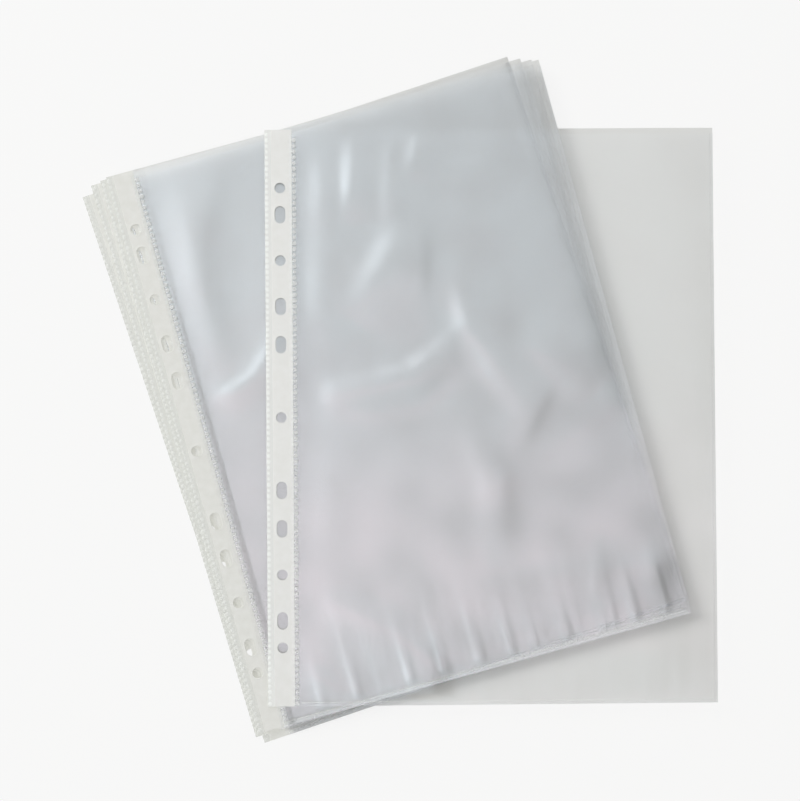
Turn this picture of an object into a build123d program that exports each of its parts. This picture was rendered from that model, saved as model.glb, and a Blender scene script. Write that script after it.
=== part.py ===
from build123d import *
import math
import os

# A fanned set of punched clear pockets for sheets of paper. Four pockets lie in a slanted
# pack and a fifth lies upright on top. Lengths are millimetres, +Z is up from the table,
# +Y runs along the top pocket's height towards its open mouth, and +X across its width.
# The origin is on the table, in the middle of the set's footprint.

# One pocket, seen from its front: binding strip on the left, mouth at the top
pocket_width = 235.0
pocket_height = 301.0
film_thickness = 0.08
cavity_depth = 0.30
mouth_step = 3.0  # the front film stops this far below the back film's top edge

# White binding strip with its punched holes, and the crease that the page turns on
strip_width = 14.2
strip_thickness = 0.26
crease_gap = 0.15

# Weld beads that close the pocket on three sides
inner_seam_width = 1.9
side_seam_width = 2.0
bottom_seam_width = 2.0

# Punched holes, on one line, in pairs either side of a round hole at mid height
hole_inset = 8.0
round_hole_diameter = 5.5
round_near_offset = 82.0
round_far_offset = 120.0
slot_width = 5.5
slot_length = 9.0
slot_near_offset = 38.0
slot_middle_offset = 58.0
slot_far_offset = 106.0

# Clear height between one pocket and the next. Loose films are wavy, so they touch only at crests.
pack_gap = 0.90

# Each packed pocket's lower left corner, from the top pocket's, and its turn about the vertical.
# The pockets are counted from the table upwards.
pocket_1_left = -2.0
pocket_1_bottom = -19.4
pocket_1_turn_deg = 18.1
pocket_2_left = -6.5
pocket_2_bottom = -16.3
pocket_2_turn_deg = 16.3
pocket_3_left = -5.6
pocket_3_bottom = -15.1
pocket_3_turn_deg = 15.5
pocket_4_left = -5.0
pocket_4_bottom = -14.1
pocket_4_turn_deg = 15.0

# Where every pocket lies, from the table upwards
LAY = {
    "pocket_1": (pocket_1_left, pocket_1_bottom, pocket_1_turn_deg),
    "pocket_2": (pocket_2_left, pocket_2_bottom, pocket_2_turn_deg),
    "pocket_3": (pocket_3_left, pocket_3_bottom, pocket_3_turn_deg),
    "pocket_4": (pocket_4_left, pocket_4_bottom, pocket_4_turn_deg),
    "top_pocket": (0, 0, 0),
}

# Sizes that follow from the ones above
pocket_thickness = 2 * film_thickness + cavity_depth
strip_floor = (pocket_thickness - strip_thickness) / 2
film_left = strip_width + crease_gap
front_height = pocket_height - mouth_step
mid_height = pocket_height / 2


def plate(left, bottom, floor, width, height, thickness):
    """A flat rectangular plate from its lower left corner."""
    corner = (Align.MIN, Align.MIN, Align.MIN)
    return Pos(left, bottom, floor) * Box(width, height, thickness, align=corner)


def round_hole_heights():
    """Heights of the round holes' centres, from the pocket's lower edge."""
    offsets = (-round_far_offset, -round_near_offset, 0.0, round_near_offset, round_far_offset)
    return [mid_height + offset for offset in offsets]


def slot_heights():
    """Heights of the slots' centres, from the pocket's lower edge."""
    above = (slot_near_offset, slot_middle_offset, slot_far_offset)
    return [mid_height + side * offset for offset in above for side in (-1, 1)]


def binding_strip():
    """White tape along the left edge, with round holes and slots for binder rings."""
    tape = Pos(strip_width / 2, mid_height) * Rectangle(strip_width, pocket_height)
    for height in round_hole_heights():
        tape -= Pos(hole_inset, height) * Circle(round_hole_diameter / 2)
    for height in slot_heights():
        tape -= Pos(hole_inset, height) * SlotOverall(slot_length, slot_width, rotation=90)
    return Pos(0, 0, strip_floor) * extrude(tape, strip_thickness)


def pocket_pieces():
    """The pieces of one pocket, in the pocket's own frame."""
    film_width = pocket_width - film_left
    bead_floor = film_thickness
    inner_right = film_left + inner_seam_width
    side_left = pocket_width - side_seam_width
    front_floor = film_thickness + cavity_depth
    return {
        "binding_strip": binding_strip(),
        "back_film": plate(film_left, 0, 0, film_width, pocket_height, film_thickness),
        "inner_seam": plate(film_left, 0, bead_floor, inner_seam_width, front_height, cavity_depth),
        "side_seam": plate(side_left, 0, bead_floor, side_seam_width, front_height, cavity_depth),
        "bottom_seam": plate(
            inner_right, 0, bead_floor, side_left - inner_right, bottom_seam_width, cavity_depth
        ),
        "front_film": plate(film_left, 0, front_floor, film_width, front_height, film_thickness),
    }


def footprint_middle():
    """Middle of the box round every pocket's corners, from the top pocket's lower left corner."""
    across, along = [], []
    for left, bottom, turn in LAY.values():
        cosine, sine = math.cos(math.radians(turn)), math.sin(math.radians(turn))
        for u in (0, pocket_width):
            for v in (0, pocket_height):
                across.append(left + u * cosine - v * sine)
                along.append(bottom + u * sine + v * cosine)
    return (min(across) + max(across)) / 2, (min(along) + max(along)) / 2


def pocket_floors():
    """Height of each pocket's underside above the table."""
    step = pocket_thickness + pack_gap
    return {name: count * step for count, name in enumerate(LAY)}


def main():
    """Writes one file for each piece and prints where the holes and hinges lie."""
    os.makedirs("parts", exist_ok=True)
    middle_x, middle_y = footprint_middle()
    floors = pocket_floors()
    for name, (left, bottom, turn) in LAY.items():
        place = Pos(left - middle_x, bottom - middle_y, floors[name]) * Rot(0, 0, turn)
        for piece, shape in pocket_pieces().items():
            export_step(place * shape, f"parts/{name}_{piece}.step")
        for height in round_hole_heights():
            centre = (place * Pos(hole_inset, height, strip_floor)).position
            print(f"{name} round hole at {centre.X:.4f} {centre.Y:.4f} {centre.Z:.4f}")
    top = Pos(-middle_x, -middle_y, floors["top_pocket"])
    for height in slot_heights():
        centre = (top * Pos(hole_inset, height, strip_floor)).position
        print(f"top_pocket slot at {centre.X:.4f} {centre.Y:.4f} {centre.Z:.4f}")
    crease = (top * Pos(strip_width + crease_gap / 2, mid_height, pocket_thickness)).position
    print(f"top_pocket crease top at {crease.X:.4f} {crease.Y:.4f} {crease.Z:.4f}")
    fold = (top * Pos(film_left, 0, film_thickness + cavity_depth)).position
    print(f"top_pocket front film foot at {fold.X:.4f} {fold.Y:.4f} {fold.Z:.4f}")


main()
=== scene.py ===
import logging
import math
from dataclasses import dataclass, field
from enum import Enum

import bpy
import numpy as np
from mathutils import Matrix, Vector


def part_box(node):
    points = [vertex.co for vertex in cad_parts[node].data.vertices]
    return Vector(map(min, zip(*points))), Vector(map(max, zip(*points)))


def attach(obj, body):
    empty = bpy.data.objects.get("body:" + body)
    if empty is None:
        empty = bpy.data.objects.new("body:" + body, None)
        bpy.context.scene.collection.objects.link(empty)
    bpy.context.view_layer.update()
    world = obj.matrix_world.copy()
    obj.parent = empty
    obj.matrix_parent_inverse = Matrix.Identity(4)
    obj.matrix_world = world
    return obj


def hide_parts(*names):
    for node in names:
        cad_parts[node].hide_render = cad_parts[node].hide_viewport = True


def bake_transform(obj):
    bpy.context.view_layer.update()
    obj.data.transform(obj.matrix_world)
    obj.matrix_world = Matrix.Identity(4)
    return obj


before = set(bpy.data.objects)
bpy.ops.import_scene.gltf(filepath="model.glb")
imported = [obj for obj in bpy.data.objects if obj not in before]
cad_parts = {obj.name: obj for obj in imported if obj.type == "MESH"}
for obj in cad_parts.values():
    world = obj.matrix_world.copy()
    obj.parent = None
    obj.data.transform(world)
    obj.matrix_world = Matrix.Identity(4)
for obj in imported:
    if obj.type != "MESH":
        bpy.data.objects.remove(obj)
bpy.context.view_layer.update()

# A fanned set of clear punched pockets. Four lie slanted in a pack and a fifth lies upright on top.
# Each pocket's own frame has u across from its strip, v up towards its mouth and z up from its
# underside, all in millimetres. Meshes are written in metres.

log = logging.getLogger("sheet_pockets")
MM = 0.001
PACK = ("pocket_1", "pocket_2", "pocket_3", "pocket_4")
TOP = "top_pocket"
Steps = tuple[tuple[float, float], ...]
Tints = tuple[tuple[float, str], ...]


class Layer(Enum):
    """The two films of a pocket."""

    BACK = "back_film"
    FRONT = "front_film"


class Slot(Enum):
    """Material slots of the record."""

    FILM = "clear_film"
    WELD = "weld_bead"
    TAPE = "white_tape"


# Small helpers for arrays, meshes and shader nodes


def linear(code: str) -> tuple[float, float, float, float]:
    """Turns a colour written as sRGB hex into linear red, green, blue and alpha.

    Args:
        code: six hex digits behind a hash sign.

    Returns:
        The linear colour, with an alpha of 1.
    """
    parts = np.array([int(code[i : i + 2], 16) for i in (1, 3, 5)]) / 255
    made = np.where(parts <= 0.04045, parts / 12.92, ((parts + 0.055) / 1.055) ** 2.4)
    return (*(float(x) for x in made), 1.0)


def smooth(x: np.ndarray, low: float, high: float) -> np.ndarray:
    """Smooth step: 0 below low, 1 above high, and 3t^2 - 2t^3 between."""
    t = np.clip((x - low) / (high - low), 0, 1)
    return t * t * (3 - 2 * t)


def stops(*spans: tuple[float, float, float]) -> np.ndarray:
    """Rising positions made of evenly divided spans.

    Args:
        spans: the start, end and rough step of each span, each one starting where the last ended.

    Returns:
        All positions, without doubles.
    """
    parts = [np.linspace(a, b, max(2, round((b - a) / step) + 1)) for a, b, step in spans]
    return np.unique(np.concatenate(parts).round(6))


def grid_faces(first: int, second: int, wrap: bool = False) -> np.ndarray:
    """Quads of a grid of points, facing along first direction x second direction.

    Args:
        first: number of points along the first direction.
        second: number of points along the second, which changes fastest.
        wrap: True where the second direction closes on itself.

    Returns:
        Four point numbers for each quad.
    """
    index = np.arange(first * second).reshape(first, second)
    if wrap:
        index = np.concatenate((index, index[:, :1]), axis=1)
    corners = (index[:-1, :-1], index[1:, :-1], index[1:, 1:], index[:-1, 1:])
    return np.stack(corners, axis=-1).reshape(-1, 4)


def closed_plate(top: np.ndarray, faces: np.ndarray, thickness: float) -> tuple[np.ndarray, np.ndarray]:
    """Gives an open surface a wall: its copy one thickness lower, and a rim round every open edge.

    An edge is open where no other face runs along it the other way.

    Args:
        top: points of the upper surface, in millimetres.
        faces: quads of the upper surface, facing up.
        thickness: wall in millimetres.

    Returns:
        Points and quads of the closed plate. The upper points come first.
    """
    count = len(top)
    start, end = faces.ravel(), np.roll(faces, -1, axis=1).ravel()
    free = ~np.isin(start * count + end, end * count + start)
    a, b = start[free], end[free]
    rim = np.stack((a, a + count, b + count, b), axis=-1)
    lower = top - np.array((0.0, 0.0, thickness))
    return np.concatenate((top, lower)), np.concatenate((faces, faces[:, ::-1] + count, rim))


def add_node(tree: bpy.types.NodeTree, kind: str, inputs: dict | None = None, **settings) -> bpy.types.Node:
    """Adds a shader node with its settings and links.

    Args:
        tree: the node tree that gets it.
        kind: Blender's name for the kind of node, without the leading ShaderNode.
        inputs: a value, or the output socket to link, for each input's name or number.
        settings: properties of the node itself.

    Returns:
        The new node.
    """
    made = tree.nodes.new("ShaderNode" + kind)
    for key, value in settings.items():
        setattr(made, key, value)
    for key, value in (inputs or {}).items():
        if isinstance(value, bpy.types.NodeSocket):
            tree.links.new(value, made.inputs[key])
        else:
            made.inputs[key].default_value = value
    return made


def blank_material(name: str) -> tuple[bpy.types.Material, bpy.types.NodeTree]:
    """A new material with an empty node tree, and that tree."""
    made = bpy.data.materials.new(name)
    made.use_nodes = True
    made.node_tree.nodes.clear()
    return made, made.node_tree


# Finishes


@dataclass(frozen=True)
class ClearFilm:
    """Cast polypropylene film: colourless and glossy, with a gloss that clouds over in patches.

    It shows what is behind it and mirrors about 4 percent a face in a soft lobe. Where a hot wheel has
    pressed it, its skin also adds a white haze.
    """

    name: str = "cast_polypropylene_film"
    haze_colour: str = "#f4f6f6"
    ior: float = 1.49
    roughness: float = 0.15
    clouding: float = 0.05
    cloud_mm: float = 26.0
    haze: float = 0.0

    def material(self) -> bpy.types.Material:
        """Builds the material: see-through, with a mirror share that grows towards grazing angles."""
        made, tree = blank_material(self.name)
        place = add_node(tree, "TexCoord").outputs["Object"]
        cloud = add_node(
            tree, "TexNoise", {"Vector": place, "Scale": 1 / (self.cloud_mm * MM), "Detail": 0.0}
        )
        satin = add_node(
            tree,
            "MapRange",
            {
                "Value": cloud.outputs["Fac"],
                "From Min": 0.25,
                "From Max": 0.75,
                "To Min": self.roughness - self.clouding,
                "To Max": self.roughness + self.clouding,
            },
        ).outputs["Result"]
        # On a back face the node turns the IOR over, so it is turned over first to stay the same
        behind = add_node(tree, "NewGeometry").outputs["Backfacing"]
        ior = add_node(tree, "MapRange", {"Value": behind, "To Min": self.ior, "To Max": 1 / self.ior})
        mirrored = add_node(tree, "Fresnel", {"IOR": ior.outputs["Result"]}).outputs["Fac"]
        body = add_node(tree, "BsdfTransparent").outputs[0]
        if self.haze:
            white = add_node(tree, "BsdfDiffuse", {"Color": linear(self.haze_colour)}).outputs[0]
            body = add_node(tree, "MixShader", {0: self.haze, 1: body, 2: white}).outputs[0]
        gloss = add_node(tree, "BsdfGlossy", {"Roughness": satin}).outputs[0]
        surface = add_node(tree, "MixShader", {0: mirrored, 1: body, 2: gloss}).outputs[0]
        add_node(tree, "OutputMaterial", {"Surface": surface})
        return made


@dataclass(frozen=True)
class WhiteTape:
    """White-filled polypropylene tape: opaque, matt to satin, with a faint mottle from its rolling."""

    name: str = "white_polypropylene_tape"
    pale: str = "#e6e6e3"
    dull: str = "#e2e2de"
    ior: float = 1.49
    roughness: float = 0.46
    satin_spread: float = 0.06
    mottle_mm: float = 4.0
    grain_mm: float = 0.9  # drawn coarser than the real grain so that it shows
    grain_height_mm: float = 0.006

    def material(self) -> bpy.types.Material:
        """Builds the material: mottled colour and roughness over a fine grain."""
        made, tree = blank_material(self.name)
        place = add_node(tree, "TexCoord").outputs["Object"]
        mottle = add_node(
            tree, "TexNoise", {"Vector": place, "Scale": 1 / (self.mottle_mm * MM), "Detail": 3.0}
        ).outputs["Fac"]
        grain = add_node(
            tree, "TexNoise", {"Vector": place, "Scale": 1 / (self.grain_mm * MM), "Detail": 2.0}
        ).outputs["Fac"]
        colour = add_node(tree, "ValToRGB", {"Fac": mottle})
        colour.color_ramp.elements[0].position = 0.3
        colour.color_ramp.elements[0].color = linear(self.dull)
        colour.color_ramp.elements[1].position = 0.7
        colour.color_ramp.elements[1].color = linear(self.pale)
        satin = add_node(
            tree,
            "MapRange",
            {
                "Value": mottle,
                "To Min": self.roughness - self.satin_spread,
                "To Max": self.roughness + self.satin_spread,
            },
        ).outputs["Result"]
        bump = add_node(
            tree, "Bump", {"Height": grain, "Strength": 1.0, "Distance": self.grain_height_mm * MM}
        ).outputs["Normal"]
        skin = add_node(
            tree,
            "BsdfPrincipled",
            {"Base Color": colour.outputs["Color"], "Roughness": satin, "IOR": self.ior, "Normal": bump},
        )
        add_node(tree, "OutputMaterial", {"Surface": skin.outputs[0]})
        return made


@dataclass(frozen=True)
class MeltedWeld:
    """Polypropylene melted by a heated wheel: milky, half see-through and lumpy."""

    name: str = "melted_polypropylene_weld"
    colour: str = "#eff1ee"
    alpha: float = 0.8
    ior: float = 1.49
    roughness: float = 0.42
    lump_mm: float = 0.8
    lump_height_mm: float = 0.02

    def material(self) -> bpy.types.Material:
        """Builds the material: a milky plastic with a lumpy sheen."""
        made, tree = blank_material(self.name)
        place = add_node(tree, "TexCoord").outputs["Object"]
        lumps = add_node(
            tree, "TexNoise", {"Vector": place, "Scale": 1 / (self.lump_mm * MM), "Detail": 1.0}
        )
        bump = add_node(
            tree,
            "Bump",
            {"Height": lumps.outputs["Fac"], "Strength": 1.0, "Distance": self.lump_height_mm * MM},
        ).outputs["Normal"]
        skin = add_node(
            tree,
            "BsdfPrincipled",
            {
                "Base Color": linear(self.colour),
                "Roughness": self.roughness,
                "IOR": self.ior,
                "Alpha": self.alpha,
                "Normal": bump,
            },
        )
        add_node(tree, "OutputMaterial", {"Surface": skin.outputs[0]})
        return made


@dataclass(frozen=True)
class StudioFloor:
    """Smooth grey table. It is an even pale tone where nothing lies over it, as on a cut-out photo."""

    name: str = "pale_table"
    colour: str = "#dcdcd9"
    backdrop: str = "#fefefe"
    cut_out: float = 0.82

    def material(self) -> bpy.types.Material:
        """Builds the material: matt, and mostly one tone where the camera looks at it directly."""
        made, tree = blank_material(self.name)
        matt = add_node(tree, "BsdfDiffuse", {"Color": linear(self.colour)}).outputs[0]
        plain = add_node(tree, "Emission", {"Color": linear(self.backdrop)}).outputs[0]
        path = add_node(tree, "LightPath").outputs
        uncovered = add_node(
            tree, "Math", {0: path["Transparent Depth"], 1: 0.5}, operation="LESS_THAN"
        ).outputs[0]
        seen = add_node(
            tree, "Math", {0: path["Is Camera Ray"], 1: uncovered}, operation="MULTIPLY"
        ).outputs[0]
        share = add_node(tree, "Math", {0: seen, 1: self.cut_out}, operation="MULTIPLY").outputs[0]
        surface = add_node(tree, "MixShader", {0: share, 1: matt, 2: plain}).outputs[0]
        add_node(tree, "OutputMaterial", {"Surface": surface})
        return made


# Where a pocket lies and how large it is, read from the frame


def node_points(name: str) -> np.ndarray:
    """Points of a node of the solid model, in metres."""
    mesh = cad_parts[name].data
    flat = np.empty(len(mesh.vertices) * 3, np.float32)
    mesh.vertices.foreach_get("co", flat)
    return flat.reshape(-1, 3).astype(float)


@dataclass(frozen=True)
class PocketSizes:
    """Lengths of one pocket in millimetres. Those without a value are read from the top pocket's boxes."""

    height: float
    strip_width: float
    strip_floor: float
    strip_top: float
    film_left: float
    inner_right: float
    side_left: float
    width: float
    seam_top: float
    front_height: float
    film: float
    front_floor: float
    hole_inset: float = 8.0
    hole_radius: float = 2.75
    slot_straight: float = 1.75
    round_offsets: tuple[float, ...] = (-120.0, -82.0, 0.0, 82.0, 120.0)
    slot_offsets: tuple[float, ...] = (-106.0, -58.0, -38.0, 38.0, 58.0, 106.0)

    @classmethod
    def read(cls) -> "PocketSizes":
        """Reads the sizes from the top pocket's boxes."""
        corner = np.array(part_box(f"{TOP}_binding_strip")[0])
        corner[2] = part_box(f"{TOP}_back_film")[0].z
        low, high = {}, {}
        for piece in ("binding_strip", "back_film", "front_film", "inner_seam", "side_seam", "bottom_seam"):
            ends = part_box(f"{TOP}_{piece}")
            low[piece], high[piece] = ((np.array(end) - corner) / MM for end in ends)
        return cls(
            height=high["binding_strip"][1],
            strip_width=high["binding_strip"][0],
            strip_floor=low["binding_strip"][2],
            strip_top=high["binding_strip"][2],
            film_left=low["back_film"][0],
            inner_right=high["inner_seam"][0],
            side_left=low["side_seam"][0],
            width=high["back_film"][0],
            seam_top=high["bottom_seam"][1],
            front_height=high["front_film"][1],
            film=high["back_film"][2],
            front_floor=low["front_film"][2],
        )


@dataclass(frozen=True)
class PocketPlace:
    """A pocket's lower left corner on its underside, and its two directions on the table."""

    corner: np.ndarray
    across: np.ndarray
    along: np.ndarray

    @classmethod
    def read(cls, pocket: str) -> "PocketPlace":
        """Reads the place from the ends of the pocket's strip, which stands within 45 degrees of upright."""
        strip = node_points(f"{pocket}_binding_strip")
        lower = strip[np.argmin(strip[:, 0] + strip[:, 1])]
        upper = strip[np.argmin(strip[:, 0] - strip[:, 1])]
        along = (upper - lower) * (1, 1, 0)
        along /= np.linalg.norm(along)
        floor = node_points(f"{pocket}_back_film")[:, 2].min()
        return cls(np.array((lower[0], lower[1], floor)), np.array((along[1], -along[0], 0.0)), along)

    def world(self, points: np.ndarray) -> np.ndarray:
        """Turns points of the pocket's own frame, in millimetres, into metres in the set's frame."""
        flat = points[:, :1] * self.across + points[:, 1:2] * self.along
        return self.corner + MM * (flat + points[:, 2:] * (0.0, 0.0, 1.0))


# How the films stand off flat


@dataclass(frozen=True)
class Wrinkle:
    """A soft ridge along a line of points, fading out at both ends.

    Its height is a Gaussian of the distance to the line. Seen along the line, its left flank can be
    steeper than its right one.
    """

    line: tuple[tuple[float, float], ...]
    height: float
    left: float
    right: float

    def rise(self, u: np.ndarray, v: np.ndarray) -> np.ndarray:
        """Height of the ridge over each point, in millimetres."""
        ends = np.array(self.line)
        spans = np.diff(ends, axis=0)
        lengths = np.hypot(*spans.T)
        done = np.concatenate(((0.0,), np.cumsum(lengths)))
        gap = np.full(u.shape, np.inf)
        flank, travel = np.zeros(u.shape), np.zeros(u.shape)
        for (u0, v0), (du, dv), length, before in zip(ends, spans, lengths, done):
            share = np.clip(((u - u0) * du + (v - v0) * dv) / length**2, 0, 1)
            off_u, off_v = u - u0 - share * du, v - v0 - share * dv
            away = np.hypot(off_u, off_v)
            nearer = away < gap
            lean = (du * off_v - dv * off_u) / (length * np.maximum(away, 1e-9))
            gap = np.where(nearer, away, gap)
            flank = np.where(nearer, lean, flank)
            travel = np.where(nearer, (before + share * length) / done[-1], travel)
        width = (self.left + self.right) / 2 + (self.left - self.right) / 2 * flank
        return self.height * np.sin(np.pi * travel) ** 1.2 * np.exp(-((gap / width) ** 2))


@dataclass(frozen=True)
class Relief:
    """How far a pocket's films stand off flat, in millimetres.

    The films are level at the inner and bottom welds and round off towards the right edge, over a band
    that is given at a few heights. Between them they swell to a pillow, which can be lower on the left,
    ripple gently, pucker along the bottom weld and carry single wrinkles. The sum is bent over softly
    below a ceiling. A film can also hang down from a hem that stands higher, most of all at its foot.
    """

    pillow: float = 0.75
    left_pillow: float = 1.0
    swell_span: tuple[float, float] = (70.0, 160.0)
    ceiling: float = 0.82
    ripple: float = 0.07
    ripple_length: float = 62.0
    pucker: float = 0.3
    pucker_reach: float = 20.0
    pucker_hold: float = 5.0
    pucker_lengths: tuple[float, float] = (17.0, 9.3)
    pucker_drift: float = 71.0
    phase: float = 0.0
    left_band: float = 40.0
    right_bands: Steps = ((28, 9), (45, 120), (80, 120), (112, 10), (175, 8), (225, 6), (270, 4.5))
    right_round: float = 1.3
    bottom_band: float = 30.0
    hem_lift: float = 0.0
    hem_band: float = 4.2
    hem_fall: float = 0.3
    hem_span: tuple[float, float] = (100.0, 290.0)
    wrinkles: tuple[Wrinkle, ...] = ()

    def rise(self, u: np.ndarray, v: np.ndarray, sizes: PocketSizes) -> np.ndarray:
        """Height of the films above flat over each point.

        Args:
            u: places across the pocket.
            v: places along it.
            sizes: the pocket's sizes, for where its welds are.

        Returns:
            Heights in millimetres, nowhere under zero.
        """
        turn, length = 2 * np.pi, self.ripple_length
        waves = np.sin(turn * (u / length + 0.31 * v / length) + self.phase)
        waves = waves + np.sin(turn * (0.23 * u / length - 0.74 * v / length) + 2.1 * self.phase + 1.0)
        long, short = self.pucker_lengths
        wide = turn * u / long + 1.7 * self.phase + 0.9 * np.sin(turn * u / self.pucker_drift)
        fine = turn * u / short + 3.1 * self.phase
        puckers = np.sin(wide + 0.5 * np.sin(wide)) + 0.6 * np.sin(fine + 0.5 * np.sin(fine))
        foot = sizes.seam_top
        folds = self.pucker * np.exp(-(v - foot).clip(0) / self.pucker_reach) * puckers
        for wrinkle in self.wrinkles:
            folds = folds + wrinkle.rise(u, v)
        pillow = self.pillow * (self.left_pillow + (1 - self.left_pillow) * smooth(u, *self.swell_span))
        swell = (pillow + self.ripple * waves) * smooth(v, foot, foot + self.bottom_band)
        total = swell + folds * smooth(v, foot, foot + self.pucker_hold)
        edge = np.interp(v, *np.array(self.right_bands).T)
        start = sizes.inner_right + (self.hem_band if self.hem_lift else 0)
        held = smooth(u, start, start + self.left_band)
        held = held * (1 - (1 - np.clip((sizes.width - u) / edge, 0, 1)) ** self.right_round)
        hang = 1 - smooth(u, sizes.inner_right, sizes.inner_right + self.hem_band)
        return self.ceiling * np.tanh(np.maximum(total, 0) / self.ceiling) * held + self.hem(v) * hang

    def hem(self, v: np.ndarray) -> np.ndarray:
        """How far the hem beside the strip stands up at each height."""
        return self.hem_lift * (1 - self.hem_fall * smooth(v, *self.hem_span))


# Pieces of one pocket


@dataclass
class Pocket:
    """One clear pocket: strip, clear edge, crease, two films and three welds. Lengths in millimetres.

    Attributes:
        name: the pocket's name in the solid model.
        relief: how its films stand off flat.
        strip_body: the body that its strip rides on.
        page_body: the body that its films and welds ride on.
        front_body: when given, its front film is only baked in place and rides on no body.
        film_shades: whether its films throw a shadow.
        hem_shades: whether the welded hem beside its strip does. The strips' own shadows are left out,
            because strips that are pressed together hardly shade one another.
        margin: finish of its bottom margin.
        strip_finish: what the names of its strip's finishes start with. The pack's strips wear
        darker copies of the top strip's finishes, which are painted shade.
        fold_half: half the width of the film at the crease. The two points made from it are not used,
        so no film bends there.
        strip_zone: the films' points stand closer up to here, and so they do in the zones along the
            side weld, the foot and the mouth.
        back_share: share of the front film's rise that the back film follows. It falls by back_drop
            between the two distances from the mouth in back_fall.
        weld_sink: how far the stitched band lies under the front film, and seal_sink the other welds.
        mesh_step: rough distance between the points of its films.
    """

    name: str
    relief: Relief
    sizes: PocketSizes
    finishes: dict[str, bpy.types.Material]
    strip_body: str
    page_body: str
    front_body: str | None = None
    edge_width: float = 3.9
    edge_thickness: float = 0.12
    edge_scallop: float = 0.16
    weld_pitch: float = 3.0
    weld_height: float = 0.07
    margin_left: float = 12.5
    hole_margin: float = 1.5
    hole_lip: float = 0.07
    lip_width: float = 0.5
    tape_overlap: float = 0.4
    fold_half: float = 0.15
    fine_half: float = 0.2
    margin_past: float = 0.5
    strip_zone: float = 30.0
    side_zone: float = 14.0
    foot_zone: float = 26.0
    mouth_zone: float = 12.0
    back_share: float = 0.9
    back_drop: float = 0.4
    back_fall: tuple[float, float] = (45.0, 4.0)
    dot_inset: float = 1.1
    dot_radii: tuple[float, float] = (0.95, 1.1)
    bar_radii: tuple[float, float] = (1.15, 1.1)
    bead_radii: tuple[float, float] = (0.45, 0.36)
    bead_gaps: tuple[float, float] = (0.9, 2.1)
    bead_draws: int = 230
    weld_sink: float = 0.06
    weld_crown: float = 0.04
    seal_sink: float = 0.1
    side_ridge: float = 0.03
    foot_ridge: float = 0.04
    film_shades: bool = False
    hem_shades: bool = False
    margin: str = "seal"
    strip_finish: str = "fresh"
    mesh_step: float = 2.4
    seed: int = 1
    place: PocketPlace = field(init=False)

    def __post_init__(self) -> None:
        """Reads where the pocket lies."""
        self.place = PocketPlace.read(self.name)

    def piece(
        self,
        name: str,
        points: np.ndarray,
        faces: list | np.ndarray,
        finish: str,
        slot: Slot,
        sharp_deg: float = 38.0,
    ) -> bpy.types.Object:
        """Makes a mesh piece from points of the pocket's frame.

        Args:
            name: the piece's name behind the pocket's.
            points: points in the pocket's frame, in millimetres.
            faces: point numbers of each face.
            finish: which of the finishes it wears.
            slot: the record's material slot; not used.
            sharp_deg: edges that bend more than this stay sharp.

        Returns:
            The new object, at the origin.
        """
        mesh = bpy.data.meshes.new(f"{self.name}_{name}")
        mesh.from_pydata(self.place.world(points).tolist(), [], [list(face) for face in faces])
        mesh.shade_smooth()
        mesh.set_sharp_from_angle(angle=math.radians(sharp_deg))
        mesh.materials.append(self.finishes[finish])
        made = bpy.data.objects.new(mesh.name, mesh)
        bpy.context.scene.collection.objects.link(made)
        log.info("%s: %d points, %d faces", made.name, len(points), len(faces))
        return made

    def build(self) -> None:
        """Builds every piece of the pocket and hangs most of them on its bodies.

        A front film with a front body, and a crease margin whose strip and page ride on different
        bodies, are only baked in place.
        """
        self.tape()
        self.clear_edge()
        self.crease()
        self.film(Layer.BACK)
        self.film(Layer.FRONT)
        self.inner_weld()
        self.side_weld()
        self.bottom_weld()

    # Strip

    def hole_cell(self, middle: float, straight: float, across: np.ndarray) -> tuple[np.ndarray, np.ndarray]:
        """A rectangle of tape with one hole in it.

        Rings run from the hole's edge out to the rectangle. On each ray from the middle, the hole's
        edge is at radius / cos on its straight flanks, and on the round end beyond them.

        Args:
            middle: the hole's height.
            straight: half the length of its straight flanks, zero for a round hole.
            across: places across the tape where the rectangle's upper and lower sides have points.

        Returns:
            Points and quads.
        """
        s = self.sizes
        half = straight + s.hole_radius + self.hole_margin
        flank = np.linspace(-half, half, 11)[1:-1]
        u = across - s.hole_inset
        rect_u = np.concatenate((u, np.full_like(flank, u[-1]), u[::-1], np.full_like(flank, u[0])))
        rect_v = np.concatenate((np.full(u.size, -half), flank, np.full(u.size, half), flank[::-1]))
        far = np.hypot(rect_u, rect_v)
        cosine, sine = np.abs(rect_u) / far, np.abs(rect_v) / far
        under = np.maximum(s.hole_radius**2 - (straight * cosine) ** 2, 0)
        on_flank = s.hole_radius * sine <= straight * cosine
        edge = np.where(on_flank, s.hole_radius / np.maximum(cosine, 1e-9), straight * sine + np.sqrt(under))
        share = np.array((0.0, 0.08, 0.2, 0.5, 1.0))[:, None]
        reach = (edge + share * (far - edge)) / far
        lip = self.hole_lip * np.exp(-(((share * (far - edge)) / self.lip_width) ** 2)) * (share > 0)
        ring_u = s.hole_inset + reach * rect_u
        ring_v = middle + reach * rect_v
        points = np.stack((ring_u, ring_v, s.strip_top + lip), axis=-1).reshape(-1, 3)
        return points, grid_faces(share.size, far.size, wrap=True)

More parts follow.
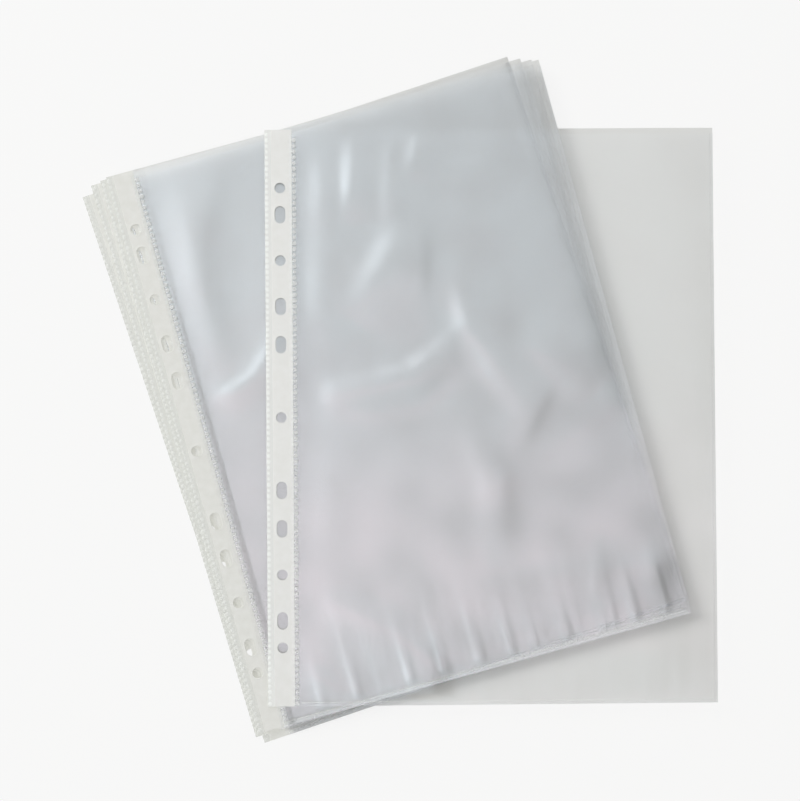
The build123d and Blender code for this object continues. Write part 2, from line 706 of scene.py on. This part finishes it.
    def tape(self) -> None:
        """White tape with its punched holes: plain stretches between one rectangle for each hole."""
        s = self.sizes
        across = np.linspace(self.edge_width - self.tape_overlap, s.strip_width, 15)
        middle = s.height / 2
        holes = [(middle + offset, 0.0) for offset in s.round_offsets]
        holes += [(middle + offset, s.slot_straight) for offset in s.slot_offsets]
        points, faces, level = [], [], 0.0
        for height, straight in sorted(holes):
            half = straight + s.hole_radius + self.hole_margin
            parts = (
                self.plain_cell(level, height - half, across),
                self.hole_cell(height, straight, across),
            )
            for part_points, part_faces in parts:
                faces.append(part_faces + sum(len(p) for p in points))
                points.append(part_points)
            level = height + half
        part_points, part_faces = self.plain_cell(level, s.height, across)
        faces.append(part_faces + sum(len(p) for p in points))
        points.append(part_points)
        merged, kept = np.unique(np.concatenate(points).round(5), axis=0, return_inverse=True)
        quads = kept.ravel()[np.concatenate(faces)]
        made = self.piece(
            "tape",
            *closed_plate(merged, quads, s.strip_top - s.strip_floor),
            f"{self.strip_finish}_tape",
            Slot.TAPE,
        )
        made.visible_shadow = False
        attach(made, self.strip_body)
        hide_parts(f"{self.name}_binding_strip")

    def plain_cell(self, low: float, high: float, across: np.ndarray) -> tuple[np.ndarray, np.ndarray]:
        """A flat rectangle of tape between two heights, as points and quads."""
        along = np.linspace(low, high, max(2, round((high - low) / 6) + 1))
        u, v = np.meshgrid(across, along, indexing="ij")
        points = np.stack((u, v, np.full_like(u, self.sizes.strip_top)), axis=-1).reshape(-1, 3)
        return points, grid_faces(across.size, along.size)

    def clear_edge(self) -> None:
        """Clear outer edge of the strip, scalloped at the weld's pitch, and the milky weld dots on it."""
        s = self.sizes
        inward = np.array((0.0, 0.2, 0.6, 1.3, 2.1, 2.9, self.edge_width))
        along = np.linspace(0, s.height, round(s.height / 0.5) + 1)
        u, v = np.meshgrid(inward, along, indexing="ij")
        scallop = self.edge_scallop * (1 - np.cos(2 * np.pi * v / self.weld_pitch)) / 2
        u = u + scallop * (1 - u / self.edge_width)
        middle = (s.strip_floor + s.strip_top) / 2
        top = middle + self.edge_thickness / 2
        points = np.stack((u, v, np.full_like(u, top)), axis=-1).reshape(-1, 3)
        edge = self.piece(
            "clear_edge",
            *closed_plate(points, grid_faces(inward.size, along.size), self.edge_thickness),
            f"{self.strip_finish}_edge",
            Slot.FILM,
        )
        edge.visible_shadow = False
        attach(edge, self.strip_body)
        rows = np.arange(self.weld_pitch / 2, s.height - 1, self.weld_pitch)
        centres = np.stack((np.full_like(rows, self.dot_inset), rows), axis=-1)
        dots = self.dots("edge_dots", centres, self.dot_radii, top, f"{self.strip_finish}_dot")
        dots.visible_shadow = False
        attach(dots, self.strip_body)

    def dots(
        self,
        name: str,
        centres: np.ndarray,
        radii: tuple[float, float],
        level: float | np.ndarray,
        finish: str = "weld",
    ) -> bpy.types.Object:
        """Low domes of melted plastic: z = height x (1 - r^2) over an ellipse, on a flat base.

        Args:
            name: the piece's name behind the pocket's.
            centres: middles of the dots across and along the pocket.
            radii: usual half width and half length of a dot.
            level: height of the surface that they sit on, one for all or one for each.
            finish: which of the finishes they wear.

        Returns:
            One object that holds all the dots.
        """
        draw = np.random.default_rng(self.seed + len(name))
        sides = 8
        around = np.arange(sides)
        following = (around + 1) % sides
        angle = around * np.pi / 4
        ring = np.array((1.0, 0.72, 0.38))[:, None]
        dome = np.stack(
            np.broadcast_arrays(ring * np.cos(angle), ring * np.sin(angle), 1 - ring**2), axis=-1
        ).reshape(-1, 3)
        dome = np.concatenate((dome, ((0.0, 0.0, 1.0), (0.0, 0.0, 0.0))))
        quads = grid_faces(ring.size, sides, wrap=True)[:, ::-1]
        tip = ring.size * sides
        inmost = tip - sides
        crown = np.stack((inmost + around, inmost + following, np.full(sides, tip)), axis=-1)
        base = np.stack((following, around, np.full(sides, tip + 1)), axis=-1)
        size = draw.uniform(0.82, 1.15, (len(centres), 1, 1))
        spread = size * np.array((*radii, self.weld_height))
        shift = np.column_stack((centres, np.broadcast_to(level, len(centres))))[:, None]
        points = (dome * spread + shift).reshape(-1, 3)
        step = (np.arange(len(centres)) * len(dome))[:, None, None]
        faces = [list(f) for part in (quads, crown, base) for f in (part + step).reshape(-1, part.shape[1])]
        return self.piece(name, points, faces, finish, Slot.WELD, sharp_deg=70.0)

    def crease(self) -> None:
        """Film margin welded on the tape, which carries on over the crease to the inner weld."""
        s = self.sizes
        hinge = (s.strip_width + s.film_left) / 2
        fine_left, fine_right = hinge - self.fine_half, hinge + self.fine_half
        across = stops(
            (self.margin_left, fine_left, 0.3),
            (fine_left, fine_right, 0.05),
            (fine_right, hinge + self.margin_past, 0.3),
        )
        along = np.linspace(0, s.front_height, 151)
        u, v = np.meshgrid(across, along, indexing="ij")
        top = np.full_like(u, s.strip_top + s.film)
        points = np.stack((u, v, top), axis=-1).reshape(-1, 3)
        shape = closed_plate(points, grid_faces(across.size, along.size), s.film / 2)
        made = self.piece("crease_margin", *shape, "film", Slot.FILM)
        made.visible_shadow = self.hem_shades
        if self.strip_body == self.page_body:
            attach(made, self.page_body)
        else:
            ends = np.array(((hinge - self.fold_half, 0, 0), (hinge + self.fold_half, 0, 0)))
            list(self.place.world(ends).tolist())
            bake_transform(made)

    # Films

    def film(self, layer: Layer) -> None:
        """One film: a grid lifted by the relief, finer near the welds and the mouth.

        Args:
            layer: which of the two films it is.
        """
        s = self.sizes
        front = layer is Layer.FRONT
        height = s.front_height if front else s.height
        step = self.mesh_step
        side, mouth = s.width - self.side_zone, height - self.mouth_zone
        across = stops(
            (s.film_left, self.strip_zone, 0.75), (self.strip_zone, side, step), (side, s.width, 0.8)
        )
        along = stops((0, self.foot_zone, 0.9), (self.foot_zone, mouth, step), (mouth, height, 0.8))
        u, v = np.meshgrid(across, along, indexing="ij")
        rise = self.relief.rise(u, v, s)
        if front:
            level = s.front_floor + s.film
        else:
            level = s.film
            far, near = self.back_fall
            rise = rise * (self.back_share - self.back_drop * smooth(v, s.height - far, s.height - near))
        points = np.stack((u, v, level + rise), axis=-1).reshape(-1, 3)
        shape = closed_plate(points, grid_faces(across.size, along.size), s.film)
        made = self.piece(layer.value + "_sheet", *shape, "film", Slot.FILM)
        made.visible_shadow = self.film_shades
        if front and self.front_body:
            self.hang_mouth(made)
        else:
            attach(made, self.page_body)
        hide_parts(f"{self.name}_{layer.value}")

    def hang_mouth(self, film: bpy.types.Object) -> None:
        """Bakes the front film's place into its points; it rides on no body and does not bulge.

        Args:
            film: the front film.
        """
        s = self.sizes
        ends = np.array(((s.width / 2, 0, 0), (s.width / 2, s.front_height, 0)))
        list(self.place.world(ends).tolist())
        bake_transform(film)

    # Welds

    def inner_weld(self) -> None:
        """Stitched weld beside the crease: a thin sealed band with a row of milky bars on it."""
        s = self.sizes
        across = stops((s.film_left, s.inner_right, 0.24))
        along = stops((0, s.front_height, 2.0))
        u, v = np.meshgrid(across, along, indexing="ij")
        crown = np.sin(np.pi * (u - s.film_left) / (s.inner_right - s.film_left))
        level = s.front_floor - self.weld_sink + self.weld_crown * crown + self.relief.hem(v)
        points = np.stack((u, v, level), axis=-1).reshape(-1, 3)
        wall = s.front_floor - self.weld_sink - s.film
        shape = closed_plate(points, grid_faces(across.size, along.size), wall)
        made = self.piece("inner_weld", *shape, "seal", Slot.WELD)
        made.visible_shadow = self.hem_shades
        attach(made, self.page_body)
        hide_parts(f"{self.name}_inner_seam")
        rows = np.arange(self.weld_pitch / 2, s.front_height - 1, self.weld_pitch)
        centres = np.stack((np.full_like(rows, (s.film_left + s.inner_right) / 2), rows), axis=-1)
        level = s.front_floor + s.film + self.relief.hem(rows)
        bars = self.dots("inner_bars", centres, self.bar_radii, level, "stitch")
        bars.visible_shadow = self.hem_shades
        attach(bars, self.page_body)

    def side_weld(self) -> None:
        """Sealed right margin with a fine ridge along each side."""
        s = self.sizes
        across = stops((s.side_left, s.width, 0.1))
        along = stops((0, s.front_height, 3.0))
        u, v = np.meshgrid(across, along, indexing="ij")
        inner, outer = s.side_left + 0.3, s.width - 0.25
        ridge = np.exp(-(((u - inner) / 0.25) ** 2)) + np.exp(-(((u - outer) / 0.25) ** 2))
        level = s.front_floor - self.seal_sink + self.side_ridge * ridge + self.relief.rise(u, v, s)
        points = np.stack((u, v, level), axis=-1).reshape(-1, 3)
        wall = s.front_floor - self.seal_sink - s.film
        shape = closed_plate(points, grid_faces(across.size, along.size), wall)
        made = self.piece("side_weld", *shape, "seal", Slot.WELD)
        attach(made, self.page_body)
        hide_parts(f"{self.name}_side_seam")

    def bottom_weld(self) -> None:
        """Sealed foot with two fine ridges, and irregular beads of melt along its upper one."""
        s = self.sizes
        across = stops((s.inner_right, 26, 0.8), (26, s.side_left, 2.0))
        along = stops((0, s.seam_top, 0.1))
        u, v = np.meshgrid(across, along, indexing="ij")
        ridge = np.exp(-(((v - 0.35) / 0.16) ** 2)) + np.exp(-(((v - s.seam_top + 0.3) / 0.16) ** 2))
        level = s.front_floor - self.seal_sink + self.foot_ridge * ridge + self.relief.rise(u, v, s)
        points = np.stack((u, v, level), axis=-1).reshape(-1, 3)
        wall = s.front_floor - self.seal_sink - s.film
        shape = closed_plate(points, grid_faces(across.size, along.size), wall)
        made = self.piece("bottom_weld", *shape, self.margin, Slot.WELD)
        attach(made, self.page_body)
        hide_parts(f"{self.name}_bottom_seam")
        draw = np.random.default_rng(self.seed + 40)
        places = np.cumsum(draw.uniform(*self.bead_gaps, self.bead_draws)) + s.inner_right
        places = places[places < s.side_left - 1]
        line = s.seam_top + draw.uniform(-0.1, 0.25, places.size)
        centres = np.stack((places, line), axis=-1)
        beads = self.dots("bottom_beads", centres, self.bead_radii, s.front_floor + s.film)
        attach(beads, self.page_body)


# Studio


@dataclass(frozen=True)
class PhotoCamera:
    """The photograph's camera, almost straight above. Lengths in millimetres, angles in degrees."""

    distance: float = 1400.0
    focal_px: float = 2668.5
    frame_px: float = 800.0
    sensor: float = 36.0
    aim: tuple[float, float] = (70.10, 159.08)  # from the top pocket's lower left corner
    pitch: float = 1.116
    yaw: float = -1.274
    roll: float = -0.431

    def build(self) -> None:
        """Adds the camera and makes it the scene's."""
        data = bpy.data.cameras.new("photo_camera")
        data.sensor_fit = "HORIZONTAL"
        data.sensor_width = self.sensor
        data.lens = self.focal_px * self.sensor / self.frame_px
        data.clip_start, data.clip_end = 0.01, 50.0
        made = bpy.data.objects.new("photo_camera", data)
        bpy.context.scene.collection.objects.link(made)
        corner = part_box(f"{TOP}_binding_strip")[0]
        target = Vector((corner.x + self.aim[0] * MM, corner.y + self.aim[1] * MM, 0.0))
        turn = Matrix.Identity(4)
        for angle, axis in ((self.roll, "Z"), (self.yaw, "Y"), (self.pitch, "X")):
            turn = turn @ Matrix.Rotation(math.radians(angle), 4, axis)
        eye = target + turn @ Vector((0, 0, self.distance * MM))
        made.matrix_world = Matrix.Translation(eye) @ turn
        bpy.context.scene.camera = made


@dataclass(frozen=True)
class Studio:
    """Pale table under a soft overhead glow that is bright on the left, and one low soft key light.

    The films mirror a ceiling with a bright panel to the left and a dark one to the right, over pale walls.
    """

    floor_side: float = 6.0
    floor_drop: float = 0.00004
    backdrop: str = "#f8f8f7"
    bright_side: tuple[float, float, float] = (-0.88, 0.47, 0.0)
    mirrored_side: tuple[float, float, float] = (-0.98, 0.2, 0.0)
    key_power: float = 212.0
    key_distance: float = 5.0
    key_height_deg: float = 26.0
    key_size: float = 1.8
    glow: Steps = ((-1.0, 0.30), (-0.4, 0.38), (0.0, 0.53), (0.3, 0.82), (0.62, 0.86), (1.0, 0.73))
    mirrored: Steps = (
        (-1.0, 0.8),
        (-0.58, 0.75),
        (-0.46, 0.08),
        (-0.34, 0.04),
        (-0.25, 0.18),
        (-0.16, 1.38),
        (-0.05, 1.6),
        (0.05, 1.76),
        (0.12, 2.3),
        (0.20, 3.9),
        (0.32, 5.2),
        (0.46, 1.0),
        (1.0, 0.8),
    )
    walls: str = "#fafaf9"
    wall_top: float = 0.78
    ceiling_edge: float = 0.9
    tints: Tints = ((-0.12, "#e2eaf0"), (-0.07, "#fff7ff"), (-0.06, "#fff7ff"), (0.04, "#dde5eb"))

    def floor(self) -> None:
        """A flat square under the set."""
        half = self.floor_side / 2
        mesh = bpy.data.meshes.new("table")
        corners = [(-half, -half), (half, -half), (half, half), (-half, half)]
        mesh.from_pydata([(x, y, -self.floor_drop) for x, y in corners], [], [(0, 1, 2, 3)])
        mesh.materials.append(StudioFloor().material())
        made = bpy.data.objects.new("table", mesh)
        bpy.context.scene.collection.objects.link(made)

    def lean_ramp(
        self, tree: bpy.types.NodeTree, way: bpy.types.NodeSocket, side: Vector, steps: Steps | Tints
    ) -> bpy.types.NodeSocket:
        """Grey levels or tints by how far a direction leans to one side.

        Args:
            tree: the world's node tree.
            way: the direction looked in.
            side: the side that counts as 1.
            steps: share of the way to that side, and the level or tint there.

        Returns:
            The level or tint as a colour.
        """
        toward = add_node(
            tree, "VectorMath", {0: way, 1: side.normalized()}, operation="DOT_PRODUCT"
        ).outputs["Value"]
        share = add_node(tree, "MapRange", {"Value": toward, "From Min": -1.0, "From Max": 1.0}).outputs[0]
        ramp = add_node(tree, "ValToRGB", {"Fac": share})
        ramp.color_ramp.interpolation = "EASE"
        marks = ramp.color_ramp.elements
        while len(marks) < len(steps):
            marks.new(0.5)
        for mark, (at, level) in zip(marks, steps):
            mark.position = (at + 1) / 2
            mark.color = linear(level) if isinstance(level, str) else (level, level, level, 1.0)
        return ramp.outputs["Color"]

    def world(self) -> None:
        """The overhead glow, the room that the film mirrors, and a pale tone behind the table's edge."""
        made = bpy.data.worlds.new("soft_studio")
        bpy.context.scene.world = made
        made.use_nodes = True
        tree = made.node_tree
        tree.nodes.clear()
        way = add_node(tree, "TexCoord").outputs["Generated"]
        tint = self.lean_ramp(tree, way, Vector((0, 1, 0)), self.tints)
        grey = self.lean_ramp(tree, way, Vector(self.mirrored_side), self.mirrored)
        room = add_node(
            tree, "Mix", {"Factor": 1.0, 6: grey, 7: tint}, data_type="RGBA", blend_type="MULTIPLY"
        ).outputs[2]
        height = add_node(tree, "SeparateXYZ", {0: way}).outputs["Z"]
        above = add_node(
            tree, "MapRange", {"Value": height, "From Min": self.wall_top, "From Max": self.ceiling_edge}
        ).outputs[0]
        room = add_node(
            tree, "Mix", {"Factor": above, 6: linear(self.walls), 7: room}, data_type="RGBA"
        ).outputs[2]
        path = add_node(tree, "LightPath").outputs
        overhead = self.lean_ramp(tree, way, Vector(self.bright_side), self.glow)
        soft = add_node(tree, "Background", {"Color": overhead}).outputs[0]
        mirror = add_node(tree, "Background", {"Color": room}).outputs[0]
        plain = add_node(tree, "Background", {"Color": linear(self.backdrop)}).outputs[0]
        lit = add_node(tree, "MixShader", {0: path["Is Glossy Ray"], 1: soft, 2: mirror}).outputs[0]
        surface = add_node(tree, "MixShader", {0: path["Is Camera Ray"], 1: lit, 2: plain}).outputs[0]
        add_node(tree, "OutputWorld", {"Surface": surface})

    def key(self) -> None:
        """A soft square lamp, low on the bright side, for the shadows."""
        data = bpy.data.lights.new("soft_key", "AREA")
        data.energy = self.key_power
        data.size = self.key_size
        made = bpy.data.objects.new("soft_key", data)
        bpy.context.scene.collection.objects.link(made)
        lift = math.radians(self.key_height_deg)
        flat = Vector(self.bright_side).normalized() * math.cos(lift)
        way = Vector((flat.x, flat.y, math.sin(lift)))
        made.location = way * self.key_distance
        made.visible_glossy = False
        made.rotation_euler = way.to_track_quat("Z", "Y").to_euler()

    def build(self) -> None:
        """Builds the studio and lets light pass all the stacked films."""
        self.floor()
        self.world()
        self.key()
        scene = bpy.context.scene
        scene.view_settings.view_transform = "Standard"
        scene.cycles.transparent_max_bounces = 96
        scene.cycles.max_bounces = 16
        scene.cycles.glossy_bounces = 10


# Wrinkles of the top pocket and of the pack's uppermost one, in each pocket's own frame

TOP_WRINKLES = (
    Wrinkle(((23.5, 185), (23.5, 250)), 0.3, 4.0, 10.0),
    Wrinkle(((22.5, 48), (22.5, 70)), 0.3, 0.9, 1.3),
    Wrinkle(((23, 18), (23, 40)), 0.22, 0.9, 1.3),
    Wrinkle(((28, 245), (28, 295)), 0.5, 7.0, 10.0),
    Wrinkle(((45, 250), (48, 301)), 1.3, 6.0, 13.0),
    Wrinkle(((66, 246), (68, 301)), 1.2, 7.0, 13.0),
    Wrinkle(((76, 272), (83, 301)), 1.0, 5.0, 10.0),
    Wrinkle(((80, 256), (46, 200)), 1.7, 16.0, 10.0),
    Wrinkle(((80, 275), (80, 186)), 0.6, 7.0, 16.0),
    Wrinkle(((97, 238), (108, 199), (121, 178), (144, 146)), 1.5, 16.0, 8.0),
    Wrinkle(((26, 163), (60, 168), (77, 172), (91, 182), (105, 200)), 2.0, 7.0, 12.0),
    Wrinkle(((132, 197), (157, 177), (172, 161)), 1.5, 20.0, 8.0),
    Wrinkle(((155, 250), (160, 213), (169, 180)), 0.5, 14.0, 8.0),
    Wrinkle(((100, 162), (119, 118), (121, 70)), 1.4, 10.0, 10.0),
    Wrinkle(((151, 175), (127, 126)), 0.8, 6.0, 14.0),
    Wrinkle(
        ((20, 55), (40, 50), (55, 43), (67, 37), (78, 27), (82, 20), (84, 7), (87, -30)), 1.7, 9.0, 18.0
    ),
    Wrinkle(((2, 26), (28, 13), (42, 0)), 0.9, 6.0, 9.0),
    Wrinkle(((171, 44), (173, 88)), 0.5, 3.5, 9.0),
    Wrinkle(((199, 44), (201, 88)), 0.45, 3.5, 9.0),
)
PACK_WRINKLES = (
    Wrinkle(((69, 298), (48, 270), (38, 252), (34, 231), (34, 206), (43, 184)), 0.6, 6.0, 18.0),
    Wrinkle(((100, 300), (92, 269), (84, 239), (71, 191), (61, 155), (55, 130)), 0.7, 12.0, 18.0),
    Wrinkle(((14, 176), (38, 176), (48, 180), (62, 193), (71, 208)), 0.6, 3.6, 7.0),
)


def reliefs() -> dict[str, Relief]:
    """How each pocket's films lie."""
    made = {"pocket_1": Relief(phase=1.3)}
    for count, name in enumerate(("pocket_2", "pocket_3"), start=2):
        made[name] = Relief(left_pillow=0.16, left_band=22.0, phase=1.3 * count, wrinkles=PACK_WRINKLES)
    made["pocket_4"] = Relief(
        pillow=0.12,
        ceiling=1.2,
        pucker=0.5,
        pucker_reach=24.0,
        phase=0.4,
        left_band=16.0,
        hem_lift=0.72,
        wrinkles=PACK_WRINKLES,
    )
    made[TOP] = Relief(
        pillow=0.5,
        ceiling=3.2,
        ripple=0.22,
        ripple_length=105.0,
        pucker=0.05,
        phase=2.2,
        left_band=20.0,
        right_bands=((0, 40),),
        right_round=2.0,
        wrinkles=TOP_WRINKLES,
    )
    return made


def main() -> None:
    """Builds the set, the studio and the camera."""
    logging.basicConfig(level=logging.INFO, format="%(name)s %(message)s")
    sizes = PocketSizes.read()
    finishes = {
        "film": ClearFilm().material(),
        "seal": ClearFilm(name="heat_sealed_film", roughness=0.24, haze=0.012).material(),
        "margin": ClearFilm(name="embossed_margin_film", roughness=0.24, haze=0.26).material(),
        # The top strip's edge, tape and dots are the lit copies. The pack's strips wear darker copies of the
        # same finishes, and that darkening is painted shade. The pack's tape is also a little warmer.
        "fresh_edge": ClearFilm(
            name="milky_sealed_film", haze_colour="#e8e9e6", roughness=0.34, haze=0.75
        ).material(),
        "packed_edge": ClearFilm(
            name="shaded_sealed_film", haze_colour="#dcddd8", roughness=0.34, haze=0.7
        ).material(),
        "fresh_tape": WhiteTape().material(),
        "packed_tape": WhiteTape(name="warm_white_tape", pale="#e1e1dc", dull="#dbdbd5").material(),
        "fresh_dot": MeltedWeld(name="well_lit_melted_dot", colour="#f3f5f2").material(),
        "packed_dot": MeltedWeld(name="shaded_melted_dot", colour="#e3e4e0").material(),
        "weld": MeltedWeld().material(),
        "stitch": MeltedWeld(name="half_melted_stitch", alpha=0.35).material(),
    }
    lying = reliefs()
    for count, name in enumerate(PACK):
        Pocket(
            name,
            lying[name],
            sizes,
            finishes,
            name,
            name,
            film_shades=True,
            hem_shades=name == PACK[-1],
            margin="margin",
            # The pack's strips wear the darker copies of the strip finishes: painted shade.
            strip_finish="packed",
            mesh_step=1.6 if name == PACK[-1] else 2.4,
            seed=10 * count + 3,
        ).build()
    Pocket(
        TOP,
        lying[TOP],
        sizes,
        finishes,
        "top_strip",
        "top_page",
        "top_front",
        mesh_step=1.6,
        seed=77,
    ).build()
    Studio().build()
    PhotoCamera().build()


if __name__ == "__main__":
    main()
